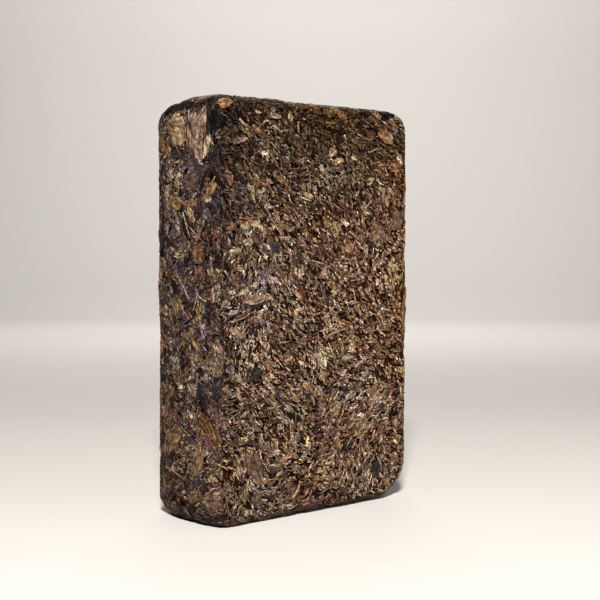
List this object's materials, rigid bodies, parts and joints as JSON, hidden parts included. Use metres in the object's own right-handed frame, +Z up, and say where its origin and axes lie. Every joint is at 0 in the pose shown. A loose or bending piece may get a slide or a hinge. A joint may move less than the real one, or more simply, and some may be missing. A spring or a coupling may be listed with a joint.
{
  "type": "pressed dark tea brick",
  "caption": "Block of dark tea leaves and stalks pressed into a rounded brick, standing on one short end; broken up to brew tea.",
  "frame": {"origin": "centre of the part's box in plan, on the flat of the short end that it rests on", "axes": "+Z up along the brick's length, X across its broad face, Y through its thickness, front broad face towards -Y"},
  "size_m": [0.1436, 0.058, 0.2234],
  "materials": {
    "pressed_tea": "dry pressed leaf, dark brown with olive, tan and reddish flecks, matt with a faint sheen"
  },
  "bodies": {
    "root": {"tea_brick": "pressed_tea"}
  },
  "joints": []
}
